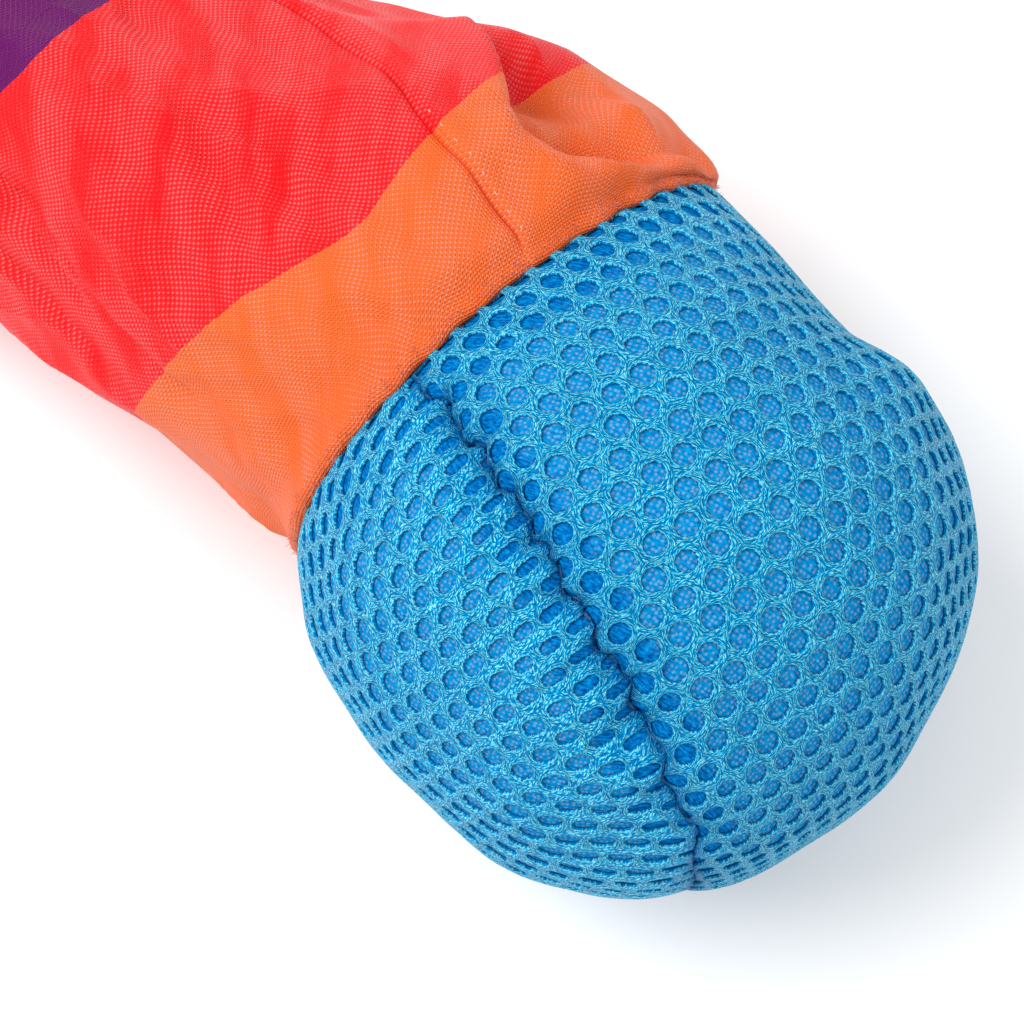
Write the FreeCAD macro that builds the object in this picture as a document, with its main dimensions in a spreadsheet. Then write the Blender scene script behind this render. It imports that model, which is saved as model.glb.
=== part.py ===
"""Throw-and-tug training toy: a stuffed mesh head on a long, slack, tapering fabric sleeve.

Millimetres. +X runs from the tail to the tip of the head and +Z is up. The origin is the centre
of the flat patch that the head rests on.
"""

import FreeCAD, Part
import Sketcher

import math
import os

SIZES = [
    # the stuffed head: a dome in front of its widest ring, a barrel behind it
    ("axis_height", 46.0, "height of the head's long axis"),
    ("belly_place", 3.0, "x of the widest ring"),
    ("belly_radius", 51.0, "radius of the widest ring"),
    ("dome_reach", 47.0, "from the widest ring to the tip"),
    ("neck_reach", 39.0, "from the widest ring back to the neck"),
    ("neck_radius", 40.5, "radius of the neck"),
    ("mesh_wall", 3.0, "thickness of the air mesh"),
    ("seam_place", 20.3, "from the head's long axis to the upright seam on its -Y side"),
    ("seam_gap", 0.8, "slot between two panels along a seam"),
    ("thread_wide", 0.5, "width of the sewing thread in a seam"),
    ("thread_deep", 1.6, "depth of the sewing thread in a seam"),
    ("thread_sunk", 0.6, "how far the thread lies under the surface"),
    ("stitch_sunk", 0.5, "how far the neck's stitches lie inside the neck's radius"),
    ("stitch_inner", 2.0, "how far inside it their inner edge is"),
    ("free_gap", 0.2, "air between pieces that don't touch"),
    ("head_room", 300.0, "side of a block that holds the whole head"),
    ("toy_room", 1200.0, "side of a block that holds the whole toy"),
    # what the head holds
    ("squeaker_radius", 17.0, "radius of the squeaker bladder"),
    ("squeaker_half", 11.0, "half the height of the squeaker bladder"),
    ("squeaker_wall", 1.2, "wall of the squeaker bladder"),
    ("reed_radius", 3.4, "radius of the reed's barrel"),
    ("reed_bottom", 6.5, "reed's lower end over the squeaker's middle"),
    ("reed_top", 13.0, "reed's upper end over the squeaker's middle"),
    ("reed_bore", 1.2, "radius of the reed's air way"),
    ("reed_fit", 0.05, "air between the reed and its hole"),
    ("reed_reach", 20.0, "how far over the squeaker's middle its holes are bored"),
    ("flange_radius", 5.2, "radius of the reed's flange"),
    ("flange_bottom", 11.6, "underside of the reed's flange over the squeaker's middle"),
    ("disc_thick", 1.0, "thickness of the disc that closes the head"),
    # the sleeve: lengths along it, and how it lies
    ("cloth", 1.0, "wall of the sleeve"),
    ("neck_joint", 1.0, "from the head's rear edge to the sleeve's front edge"),
    ("collar_length", 45.0, "from the neck to the first bend"),
    ("front_length", 141.0, "from the first bend to the second"),
    ("middle_length", 140.0, "from the second bend to the third"),
    ("rear_length", 106.0, "from the third bend to the tail end"),
    ("collar_heading", 24.0, "turn of the collar from -X towards -Y, in degrees"),
    ("front_heading", 20.0, "the same for the front length"),
    ("middle_heading", 8.0, "the same for the middle length"),
    ("rear_heading", 0.0, "the same for the rear length"),
    ("floor_sink", 2.5, "how far the slack wall is pressed flat by the floor"),
    ("wide_neck", 40.5, "half width at the neck"),
    ("tall_neck", 40.5, "half height at the neck"),
    ("wide_first", 42.5, "half width at the first bend"),
    ("tall_first", 33.0, "half height at the first bend"),
    ("wide_front", 37.0, "half width halfway to the second bend"),
    ("tall_front", 25.0, "half height there"),
    ("wide_second", 33.0, "half width at the second bend"),
    ("tall_second", 20.0, "half height there"),
    ("wide_middle", 29.0, "half width halfway to the third bend"),
    ("tall_middle", 17.0, "half height there"),
    ("wide_third", 25.0, "half width at the third bend"),
    ("tall_third", 14.0, "half height there"),
    ("wide_rear", 20.0, "half width halfway to the tail end"),
    ("tall_rear", 10.0, "half height there"),
    ("wide_last", 16.5, "half width at the tail end"),
    ("tall_last", 4.6, "half height there"),
    ("seam_share", 0.33, "place of the sleeve's seams off its middle, as a share of its half width"),
    ("bend_limit", 40.0, "turn that the sleeve's ends leave room for, in degrees"),
    ("knuckle_first", 40.0, "radius of the rounded end at the first bend"),
    ("knuckle_second", 34.0, "the same at the second bend"),
    ("knuckle_third", 26.0, "the same at the third bend"),
    ("knuckle_gap", 0.4, "air between a rounded end and its socket"),
    # the tail end and its loop
    ("binding_wide", 38.0, "width of the folded tape on the tail end"),
    ("binding_long", 22.0, "length of the folded tape"),
    ("binding_tall", 6.4, "thickness of the folded tape"),
    ("binding_round", 1.5, "radius along the tape's upper edges"),
    ("strap_wide", 20.0, "width of the webbing"),
    ("strap_thick", 1.6, "thickness of the webbing"),
    ("root_deep", 18.0, "how deep the webbing sits in the folded tape"),
    ("hinge_out", 5.0, "from the folded tape to where the loop flops"),
    ("root_clear", 1.2, "air between the stacked ends and the loop that flops over them"),
    ("loop_reach", 50.0, "from there to the centre of the loop's round end"),
    ("loop_radius", 12.0, "outer radius of the loop's round end"),
    ("loop_mouth", 8.0, "from the flopping line to where the two layers part"),
    ("mouth_rise", 1.36, "how far that parting lies over the flopping line"),
    ("mouth_radius", 0.6, "radius of the corner where the two layers part"),
    ("tack_radius", 0.7, "radius of a bar of stitches"),
    ("tack_wide", 17.0, "length of a bar of stitches"),
    ("tack_step", 12.0, "distance between the two bars of stitches"),
]

ALONG_X = FreeCAD.Rotation(FreeCAD.Vector(0, 1, 0), 90)
# upright cutting tools: how far they reach, how tall they are, and how far they start below the floor
BIG = 500.0
TALL = 140.0
BELOW = 20.0

doc = FreeCAD.newDocument("training_toy")
sheet = doc.addObject("Spreadsheet::Sheet", "Sizes")
for row, (alias, value, meaning) in enumerate(SIZES, start=1):
    sheet.set(f"A{row}", meaning)
    sheet.set(f"B{row}", str(value))
    sheet.setAlias(f"B{row}", alias)
doc.recompute()


def size(alias):
    """A driving dimension, as a number."""
    return float(sheet.get(alias))


def bind(item, **links):
    """Bind an object's properties to expressions; two underscores in a name stand for a dot."""
    for name, expression in links.items():
        item.setExpression("." + name.replace("__", "."), expression)
    return item


def add(kind, name, **links):
    return bind(doc.addObject(kind, name), **links)


def pair(kind, name, base, tool):
    """A boolean of two objects, its faces kept as they come."""
    item = doc.addObject(kind, name)
    item.Base = base
    item.Tool = tool
    item.Refine = False
    return item


def block(name, low_x, low_y, low_z, long_x, long_y, long_z):
    """A box between two corners; each number is an expression."""
    item = add("Part::Box", name, Length=long_x, Width=long_y, Height=long_z)
    return bind(item, Placement__Base__x=low_x, Placement__Base__y=low_y, Placement__Base__z=low_z)


# ---- the head -------------------------------------------------------------------------------


def head_form(name, inset):
    """The whole head as one closed shape, a given depth inside its outer surface."""
    neck = f"(Sizes.neck_radius - {inset})"
    belly = f"(Sizes.belly_radius - {inset})"
    dome = add(
        "Part::Ellipsoid",
        f"{name}_dome",
        Radius1=f"Sizes.dome_reach - {inset}",
        Radius2=belly,
        Radius3=belly,
    )
    dome.Angle1 = 0
    barrel = add(
        "Part::Ellipsoid",
        f"{name}_barrel",
        Radius1=f"Sizes.neck_reach / sqrt(1 - {neck} * {neck} / ({belly} * {belly}))",
        Radius2=belly,
        Radius3=belly,
        Angle1=f"-acos({neck} / {belly})",
    )
    barrel.Angle2 = 0
    for item in (dome, barrel):
        item.Placement.Rotation = ALONG_X
        bind(item, Placement__Base__x="Sizes.belly_place", Placement__Base__z="Sizes.axis_height")
    whole = pair("Part::Fuse", f"{name}_round", dome, barrel)
    room = "Sizes.head_room"
    above = block(f"{name}_above_floor", f"-{room} / 2", f"-{room} / 2", inset, room, room, room)
    return pair("Part::Common", name, whole, above)


def upright_room(name, low_y, long_y):
    """A block round the whole head between two upright walls along it."""
    room = "Sizes.head_room"
    return block(name, f"-{room} / 2", low_y, f"-{room} / 2", room, long_y, room)


def seam_slab(name, thick):
    """A thin upright wall where the seam between the two panels is."""
    return upright_room(name, f"-Sizes.seam_place - {thick} / 2", thick)


def make_head_panels():
    outer = head_form("head_outer", "0")
    inner = head_form("head_inner", "Sizes.mesh_wall")
    skin = pair("Part::Cut", "head_skin", outer, inner)
    open_skin = pair("Part::Cut", "head_skin_open", skin, seam_slab("head_slot", "Sizes.seam_gap"))
    rooms = {
        "left": upright_room("left_of_seam", "-Sizes.seam_place - Sizes.head_room", "Sizes.head_room"),
        "right": upright_room("right_of_seam", "-Sizes.seam_place", "Sizes.head_room"),
    }
    return [pair("Part::Common", f"head_panel_{side}", open_skin, room) for side, room in rooms.items()]


def make_head_seam_thread():
    shallow = head_form("thread_outer", "Sizes.thread_sunk")
    deep = head_form("thread_inner", "(Sizes.thread_sunk + Sizes.thread_deep)")
    ring = pair("Part::Cut", "thread_shell", shallow, deep)
    slab = seam_slab("thread_slab", "Sizes.thread_wide")
    return pair("Part::Common", "head_seam_thread", ring, slab)


def ellipsoid_at_centre(name, grow):
    """The squeaker's outer form, grown by an expression, about the head's centre."""
    item = add(
        "Part::Ellipsoid",
        name,
        Radius1=f"Sizes.squeaker_half + {grow}",
        Radius2=f"Sizes.squeaker_radius + {grow}",
        Radius3=f"Sizes.squeaker_radius + {grow}",
    )
    return bind(item, Placement__Base__x="Sizes.belly_place", Placement__Base__z="Sizes.axis_height")


def upright_rod(name, radius, low, high):
    """A rod on the squeaker's upright axis, between two heights over its middle."""
    item = add("Part::Cylinder", name, Radius=radius, Height=f"{high} - {low}")
    return bind(
        item,
        Placement__Base__x="Sizes.belly_place",
        Placement__Base__z=f"Sizes.axis_height + {low}",
    )


def make_squeaker():
    body = pair(
        "Part::Cut",
        "squeaker_hollow",
        ellipsoid_at_centre("squeaker_outer", "0"),
        ellipsoid_at_centre("squeaker_inner", "(-Sizes.squeaker_wall)"),
    )
    hole = upright_rod("squeaker_hole", "Sizes.reed_radius + Sizes.reed_fit", "0", "Sizes.reed_reach")
    bladder = pair("Part::Cut", "squeaker_bladder", body, hole)
    barrel = upright_rod("reed_barrel", "Sizes.reed_radius", "Sizes.reed_bottom", "Sizes.reed_top")
    flange = upright_rod("reed_flange", "Sizes.flange_radius", "Sizes.flange_bottom", "Sizes.reed_top")
    solid = pair("Part::Fuse", "reed_solid", barrel, flange)
    bore = upright_rod("reed_air_way", "Sizes.reed_bore", "0", "Sizes.reed_reach")
    reed = pair("Part::Cut", "squeaker_reed", solid, bore)
    return [bladder, reed]


def make_filling():
    """Loose fibre that fills the head round the squeaker."""
    form = head_form("filling_form", "(Sizes.mesh_wall + Sizes.free_gap)")
    ahead = block(
        "ahead_of_disc",
        "Sizes.belly_place - Sizes.neck_reach + Sizes.disc_thick + 2 * Sizes.free_gap",
        "-Sizes.head_room / 2",
        "-Sizes.head_room / 2",
        "Sizes.head_room",
        "Sizes.head_room",
        "Sizes.head_room",
    )
    fibre = pair("Part::Common", "fibre_block", form, ahead)
    room = ellipsoid_at_centre("squeaker_room", "Sizes.free_gap")
    cap_room = upright_rod(
        "reed_room", "Sizes.flange_radius + Sizes.free_gap", "0", "(Sizes.reed_top + Sizes.free_gap)"
    )
    return pair("Part::Cut", "head_filling", fibre, pair("Part::Fuse", "cavity", room, cap_room))


def make_closure_disc():
    """A disc of cloth, sewn in with the neck, that keeps the fibre in the head."""
    body = doc.addObject("PartDesign::Body", "neck_closure_disc")
    sketch = body.newObject("Sketcher::SketchObject", "disc_outline")
    plane = next(f for f in body.Origin.OriginFeatures if f.Role == "YZ_Plane")
    sketch.AttachmentSupport = [(plane, "")]
    sketch.MapMode = "FlatFace"
    circle = Part.Circle(FreeCAD.Vector(0, 0, 0), FreeCAD.Vector(0, 0, 1), size("neck_radius"))
    sketch.addGeometry(circle)
    sketch.addConstraint(Sketcher.Constraint("Coincident", 0, 3, -1, 1))
    sketch.addConstraint(Sketcher.Constraint("Radius", 0, size("neck_radius")))
    sketch.renameConstraint(1, "disc_radius")
    bind(
        sketch,
        Constraints__disc_radius="Sizes.neck_radius - Sizes.mesh_wall - Sizes.free_gap",
    )
    pad = body.newObject("PartDesign::Pad", "disc_pad")
    pad.Profile = sketch
    bind(pad, Length="Sizes.disc_thick")
    return bind(
        body,
        Placement__Base__x="Sizes.belly_place - Sizes.neck_reach + Sizes.free_gap",
        Placement__Base__z="Sizes.axis_height",
    )


def make_neck_seam():
    """The ring of stitches between the head and the sleeve."""
    thick = "(Sizes.neck_joint - 2 * Sizes.free_gap)"
    rings = []
    for name, inset in (
        ("neck_ring_outer", "Sizes.stitch_sunk"),
        ("neck_ring_inner", "Sizes.stitch_inner"),
    ):
        rod = add("Part::Cylinder", name, Radius=f"Sizes.neck_radius - {inset}", Height=thick)
        rod.Placement.Rotation = ALONG_X
        bind(
            rod,
            Placement__Base__x=f"Sizes.belly_place - Sizes.neck_reach - Sizes.free_gap - {thick}",
            Placement__Base__z="Sizes.axis_height",
        )
        rings.append(rod)
    return pair("Part::Cut", "neck_seam_thread", *rings)


# ---- the sleeve -----------------------------------------------------------------------------

STRETCHES = ("collar", "front", "middle", "rear")
# where each ring of the sleeve stands: the stretch, the share of it that is passed, and the ring
RINGS = (
    ("collar", 0.0, "neck"),
    ("collar", 1.0, "first"),
    ("front", 0.5, "front"),
    ("front", 1.0, "second"),
    ("middle", 0.5, "middle"),
    ("middle", 1.0, "third"),
    ("rear", 0.5, "rear"),
    ("rear", 1.0, "last"),
)


def heading(stretch):
    """Unit direction of a stretch of the sleeve, towards the tail."""
    angle = math.radians(180 + size(f"{stretch}_heading"))
    return FreeCAD.Vector(math.cos(angle), math.sin(angle), 0)


def place(stretch, share):
    """A point on the sleeve's middle line, on the floor."""
    spot = FreeCAD.Vector(size("belly_place") - size("neck_reach") - size("neck_joint"), 0, 0)
    for name in STRETCHES:
        if name == stretch:
            return spot + heading(name) * size(f"{name}_length") * share
        spot += heading(name) * size(f"{name}_length")
    raise ValueError(stretch)


def direction(stretch, share):
    """Direction of the sleeve at a ring: halfway between two stretches at a bend."""
    if share == 0.0:
        return FreeCAD.Vector(-1, 0, 0)
    index = STRETCHES.index(stretch)
    if share < 1.0 or index == len(STRETCHES) - 1:
        return heading(stretch)
    both = heading(stretch) + heading(STRETCHES[index + 1])
    return both.normalize()


def sideways(along):
    """Level unit direction across the sleeve, to the +Y side."""
    return FreeCAD.Vector(along.y, -along.x, 0)


def ring(name, stretch, share, label, inset):
    """One oval ring of the sleeve, standing across it."""
    item = add(
        "Part::Ellipse",
        f"{name}_{label}",
        MajorRadius=f"Sizes.wide_{label} - {inset}",
        MinorRadius=f"Sizes.tall_{label} - {inset}",
    )
    along = direction(stretch, share)
    up = FreeCAD.Vector(0, 0, 1)
    turn = FreeCAD.Rotation(sideways(along), up, sideways(along).cross(up), "XYZ")
    item.Placement = FreeCAD.Placement(place(stretch, share), turn)
    if label == "neck":
        return bind(item, Placement__Base__z="Sizes.axis_height")
    return bind(item, Placement__Base__z=f"Sizes.tall_{label} - Sizes.floor_sink")


def sleeve_form(name, inset):
    """The sleeve as one closed, lofted shape that the floor presses flat below."""
    loft = doc.addObject("Part::Loft", f"{name}_loft")
    loft.Sections = [ring(name, stretch, share, label, inset) for stretch, share, label in RINGS]
    loft.Solid = True
    loft.Ruled = True
    room = "Sizes.toy_room"
    above = block(f"{name}_above_floor", f"-{room} / 2", f"-{room} / 2", inset, room, room, room)
    return pair("Part::Common", name, loft, above)


def seam_line(offset):
    """The seam's line in plan, moved sideways by a distance, a little longer than the sleeve."""
    points = []
    for stretch, share, label in RINGS:
        along = direction(stretch, share)
        side = sideways(along) * (size(f"wide_{label}") * size("seam_share") + offset)
        points.append(place(stretch, share) + side)
    points[0] += FreeCAD.Vector(5, 0, 0)
    points[-1] -= FreeCAD.Vector(5, 0, 0)
    return points


def wall(name, outline):
    """A tall upright block over an outline in plan."""
    polygon = doc.addObject("Part::Polygon", f"{name}_outline")
    polygon.Nodes = [FreeCAD.Vector(p.x, p.y, -BELOW) for p in outline]
    polygon.Close = True
    item = doc.addObject("Part::Extrusion", name)
    item.Base = polygon
    item.DirMode = "Custom"
    item.Dir = FreeCAD.Vector(0, 0, 1)
    item.LengthFwd = TALL
    item.Solid = True
    return item


def side_walls():
    """The room left of the seam, right of it, and the thread's own slot."""
    gap = size("seam_gap") / 2
    thread = size("thread_wide") / 2
    far = FreeCAD.Vector(0, 200, 0)
    left = seam_line(-gap)
    right = seam_line(gap)
    return {
        "left": wall("sleeve_left_room", left + [left[-1] - far, left[0] - far]),
        "right": wall("sleeve_right_room", right + [right[-1] + far, right[0] + far]),
        "seam_thread": wall("sleeve_seam_room", seam_line(-thread) + seam_line(thread)[::-1]),
    }


def upright_slice(name, stretch, angle, start, shift):
    """A very wide upright slice about a bend, moved towards the tail by a shift."""
    item = doc.addObject("Part::Cylinder", name)
    item.Radius = BIG
    item.Height = TALL
    item.Angle = angle
    along = direction(stretch, 1.0)
    turn = math.degrees(math.atan2(along.y, along.x)) + start
    base = place(stretch, 1.0) + along * shift - FreeCAD.Vector(0, 0, BELOW)
    item.Placement = FreeCAD.Placement(base, FreeCAD.Rotation(FreeCAD.Vector(0, 0, 1), turn))
    return item


def upright_disc(name, label, stretch, extra):
    """An upright disc about a bend."""
    item = add("Part::Cylinder", name, Radius=f"Sizes.knuckle_{label} + {extra}")
    item.Height = TALL
    item.Placement.Base = place(stretch, 1.0) - FreeCAD.Vector(0, 0, BELOW)
    return item


def cut_front_end(skin, name, label, stretch):
    """Take away what is ahead of a bend, leaving a round end about it."""
    half = upright_slice(f"{name}_half", stretch, 180.0, 90.0, size("free_gap"))
    end = upright_disc(f"{name}_round_end", label, stretch, "0")
    rest = pair("Part::Cut", f"{name}_corners", half, end)
    return pair("Part::Cut", f"{name}_behind", skin, rest)


def cut_rear_end(length, name, label, stretch):
    """Take away what is behind a bend, leaving a hollow end whose corners are cut back."""
    spread = 180 + 2 * size("bend_limit")
    wedge = upright_slice(f"{name}_wedge", stretch, spread, -spread / 2, 0.0)
    trimmed = pair("Part::Cut", f"{name}_trimmed", length, wedge)
    hollow = upright_disc(f"{name}_hollow", label, stretch, "Sizes.knuckle_gap")
    return pair("Part::Cut", f"{name}_ahead", trimmed, hollow)


def make_sleeve():
    """Left panel, right panel and seam thread of each stretch behind a bend."""
    skin = pair(
        "Part::Cut",
        "sleeve_skin",
        sleeve_form("sleeve_outer", "0"),
        sleeve_form("sleeve_inner", "Sizes.cloth"),
    )
    sides = side_walls()
    pieces = []
    for stretch, front_bend, rear_bend in (
        ("front", ("first", "collar"), ("second", "front")),
        ("middle", ("second", "front"), ("third", "middle")),
        ("rear", ("third", "middle"), None),
    ):
        length = cut_front_end(skin, stretch, *front_bend)
        if rear_bend:
            length = cut_rear_end(length, stretch, *rear_bend)
        for side, room in sides.items():
            name = f"{stretch}_{side}" if side == "seam_thread" else f"sleeve_{stretch}_{side}"
            pieces.append(pair("Part::Common", name, length, room))
    return pieces


# ---- the tail end ---------------------------------------------------------------------------


def tail_end():
    return place("rear", 1.0)


def make_binding():
    """The folded tape that closes the tail end, with a slot for the webbing."""
    end = tail_end()
    tape = block(
        "binding_block",
        f"{end.x} - Sizes.free_gap - Sizes.binding_long",
        f"{end.y} - Sizes.binding_wide / 2",
        "0",
        "Sizes.binding_long",
        "Sizes.binding_wide",
        "Sizes.binding_tall",
    )
    rounded = doc.addObject("Part::Fillet", "binding_rounded")
    rounded.Base = tape
    doc.recompute()
    rounded.Edges = [
        (number, size("binding_round"), size("binding_round"))
        for number, edge in enumerate(tape.Shape.Edges, start=1)
        if abs(edge.tangentAt(edge.FirstParameter).y) > 0.9 and edge.CenterOfMass.z > 1
    ]
    slot = block(
        "binding_slot",
        f"{end.x} - Sizes.free_gap - Sizes.binding_long - 1",
        f"{end.y} - Sizes.strap_wide / 2 - Sizes.free_gap",
        "Sizes.binding_tall / 2 - Sizes.strap_thick - Sizes.free_gap / 2",
        "Sizes.root_deep + Sizes.free_gap + 1",
        "Sizes.strap_wide + 2 * Sizes.free_gap",
        "2 * Sizes.strap_thick + Sizes.free_gap",
    )
    return pair("Part::Cut", "tail_end_binding", rounded, slot)


def make_strap_root():
    """The two stacked ends of the webbing, from inside the tape to where the loop flops."""
    end = tail_end()
    clear = "(Sizes.strap_thick + Sizes.root_clear)"
    return block(
        "loop_strap_root",
        f"{end.x} - Sizes.free_gap - Sizes.binding_long - Sizes.hinge_out + {clear}",
        f"{end.y} - Sizes.strap_wide / 2",
        "Sizes.binding_tall / 2 - Sizes.strap_thick",
        f"Sizes.root_deep + Sizes.hinge_out - {clear}",
        "Sizes.strap_wide",
        "2 * Sizes.strap_thick",
    )


def make_bar_tacks():
    """Two bars of stitches across the folded tape."""
    end = tail_end()
    tacks = []
    for number in range(2):
        rod = add("Part::Cylinder", f"tack_{number}", Radius="Sizes.tack_radius", Height="Sizes.tack_wide")
        rod.Placement.Rotation = FreeCAD.Rotation(FreeCAD.Vector(1, 0, 0), -90)
        middle = f"{end.x} - Sizes.free_gap - Sizes.binding_long / 2"
        bind(
            rod,
            Placement__Base__x=f"{middle} + ({number} - 0.5) * Sizes.tack_step",
            Placement__Base__y=f"{end.y} - Sizes.tack_wide / 2",
            Placement__Base__z="Sizes.binding_tall",
        )
        tacks.append(rod)
    both = doc.addObject("Part::MultiFuse", "tack_rods")
    both.Shapes = tacks
    room = "Sizes.toy_room"
    above = block("above_binding", f"-{room} / 2", f"-{room} / 2", "Sizes.binding_tall", room, room, room)
    return pair("Part::Common", "loop_bar_tacks", both, above)


def add_teardrop(sketch, name, small, small_radius, large, large_radius):
    """Two circles joined by their outer tangents; returns the next free geometry number."""
    gap = large - small
    facing = math.atan2(gap.y, gap.x)
    open_angle = math.acos((small_radius - large_radius) / gap.Length)
    upper, lower = facing - open_angle, facing + open_angle

    def rim(centre, radius, angle):
        return centre + FreeCAD.Vector(math.cos(angle), math.sin(angle), 0) * radius

    normal = FreeCAD.Vector(0, 0, 1)
    first = sketch.GeometryCount
    turn = 2 * math.pi
    sketch.addGeometry(
        Part.ArcOfCircle(Part.Circle(small, normal, small_radius), lower - turn, upper)
    )
    sketch.addGeometry(Part.ArcOfCircle(Part.Circle(large, normal, large_radius), upper, lower))
    sketch.addGeometry(
        Part.LineSegment(rim(small, small_radius, upper), rim(large, large_radius, upper))
    )
    sketch.addGeometry(
        Part.LineSegment(rim(large, large_radius, lower), rim(small, small_radius, lower))
    )
    small_arc, large_arc, top, bottom = range(first, first + 4)
    for one, one_end, other, other_end in (
        (small_arc, 2, top, 1),
        (top, 2, large_arc, 1),
        (large_arc, 2, bottom, 1),
        (bottom, 2, small_arc, 1),
    ):
        sketch.addConstraint(Sketcher.Constraint("Tangent", one, one_end, other, other_end))
    for label, arc, centre, radius in (
        ("small", small_arc, small, small_radius),
        ("large", large_arc, large, large_radius),
    ):
        for word, kind, value in (
            ("radius", "Radius", radius),
            ("x", "DistanceX", centre.x),
            ("z", "DistanceY", centre.y),
        ):
            if kind == "Radius":
                made = sketch.addConstraint(Sketcher.Constraint(kind, arc, value))
            else:
                made = sketch.addConstraint(Sketcher.Constraint(kind, -1, 1, arc, 3, value))
            sketch.renameConstraint(made, f"{name}_{label}_{word}")


def make_loop():
    """The webbing loop: a teardrop of one thickness, lying on the floor."""
    body = doc.addObject("PartDesign::Body", "pull_loop")
    sketch = body.newObject("Sketcher::SketchObject", "loop_outline")
    plane = next(f for f in body.Origin.OriginFeatures if f.Role == "XZ_Plane")
    sketch.AttachmentSupport = [(plane, "")]
    sketch.MapMode = "FlatFace"
    middle = size("binding_tall") / 2
    far = FreeCAD.Vector(-size("loop_reach"), size("loop_radius"), 0)
    mouth = FreeCAD.Vector(-size("loop_mouth"), middle + size("mouth_rise"), 0)
    add_teardrop(
        sketch, "outer", FreeCAD.Vector(0, middle, 0), size("strap_thick"), far, size("loop_radius")
    )
    add_teardrop(
        sketch, "inner", mouth, size("mouth_radius"), far, size("loop_radius") - size("strap_thick")
    )
    bind(
        sketch,
        Constraints__outer_small_radius="Sizes.strap_thick",
        Constraints__outer_large_radius="Sizes.loop_radius",
        Constraints__outer_large_z="Sizes.loop_radius",
        Constraints__inner_small_radius="Sizes.mouth_radius",
        Constraints__inner_large_radius="Sizes.loop_radius - Sizes.strap_thick",
        Constraints__inner_large_z="Sizes.loop_radius",
    )
    pad = body.newObject("PartDesign::Pad", "loop_pad")
    pad.Profile = sketch
    pad.SideType = "Symmetric"
    bind(pad, Length="Sizes.strap_wide")
    end = tail_end()
    return bind(
        body,
        Placement__Base__x=f"{end.x} - Sizes.free_gap - Sizes.binding_long - Sizes.hinge_out",
        Placement__Base__y=f"{end.y}",
    )


# ---- build, test and write ------------------------------------------------------------------

pieces = make_head_panels()
pieces.append(make_head_seam_thread())
pieces += make_squeaker()
pieces.append(make_filling())
pieces.append(make_closure_disc())
pieces.append(make_neck_seam())
pieces += make_sleeve()
pieces.append(make_binding())
pieces.append(make_strap_root())
pieces.append(make_bar_tacks())
pieces.append(make_loop())
doc.recompute()

for item in doc.Objects:
    if "Invalid" in item.State or "Error" in item.State:
        raise RuntimeError(f"{item.Name} failed: {item.State}")

os.makedirs("parts", exist_ok=True)
for piece in pieces:
    piece.Label = piece.Name
    shape = piece.Shape
    if shape.isNull() or not shape.isValid() or not shape.Solids:
        raise RuntimeError(f"{piece.Label} has no valid solid")
    shape.exportStep(f"parts/{piece.Label}.step")
    box = shape.BoundBox
    print(
        f"{piece.Label:24s} solids {len(shape.Solids)} volume {shape.Volume:10.1f} "
        f"x {box.XMin:7.1f} {box.XMax:7.1f} y {box.YMin:7.1f} {box.YMax:7.1f} "
        f"z {box.ZMin:6.1f} {box.ZMax:6.1f}"
    )
for stretch in STRETCHES:
    spot = place(stretch, 1.0)
    print(f"end of {stretch}: {spot.x:.2f} {spot.y:.2f}")
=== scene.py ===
import math

import bpy
import numpy as np
from mathutils import Matrix, Vector


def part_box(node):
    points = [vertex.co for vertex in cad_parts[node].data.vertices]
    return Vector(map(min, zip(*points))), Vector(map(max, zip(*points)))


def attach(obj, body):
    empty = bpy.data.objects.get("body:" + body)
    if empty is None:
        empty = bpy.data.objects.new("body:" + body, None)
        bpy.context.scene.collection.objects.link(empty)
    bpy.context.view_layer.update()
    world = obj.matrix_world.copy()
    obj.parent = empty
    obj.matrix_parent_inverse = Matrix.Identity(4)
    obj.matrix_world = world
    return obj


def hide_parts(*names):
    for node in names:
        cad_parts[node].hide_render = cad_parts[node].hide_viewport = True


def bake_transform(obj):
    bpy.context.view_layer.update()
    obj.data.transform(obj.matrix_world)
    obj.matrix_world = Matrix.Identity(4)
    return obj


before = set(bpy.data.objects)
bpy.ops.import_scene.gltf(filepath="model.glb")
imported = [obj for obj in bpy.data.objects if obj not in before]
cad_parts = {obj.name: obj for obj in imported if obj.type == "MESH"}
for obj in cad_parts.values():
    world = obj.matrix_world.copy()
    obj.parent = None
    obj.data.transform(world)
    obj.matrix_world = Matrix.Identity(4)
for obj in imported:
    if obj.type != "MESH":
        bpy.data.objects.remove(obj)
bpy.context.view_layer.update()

# Looks of a throw-and-tug training toy. Forms are worked out in millimetres and put into meshes
# in metres. The head's forms are about its own centre, which is straight over its rest patch.

MM = 0.001
TURN = 2 * math.pi
HEAD_HIGH = 46.0
HEAD_CENTRE = np.array([0.0, 0.0, HEAD_HIGH])

# the head's outline on each side: the widest place along X, the half width there, the reach
# towards the neck and towards the tip, and how square the tip is
LEFT_SIDE = dict(middle=-8.0, wide=50.5, back=45.9, front=59.2, power=2.42)
TOP_SIDE = dict(middle=0.0, wide=50.5, back=59.2, front=51.2, power=2.1)
RIGHT_SIDE = dict(middle=5.0, wide=51.3, back=46.2, front=46.2, power=1.9)
# behind its widest place the right side steps in over this length, then tapers at this slope
SHOULDER = 5.0
SHOULDER_LONG = 15.0
SHOULDER_SLOPE = 0.06

# the head's seam: its Y over the centre, and its slope
SEAM_Y = -20.3
SEAM_LEAN = -0.03
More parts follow.
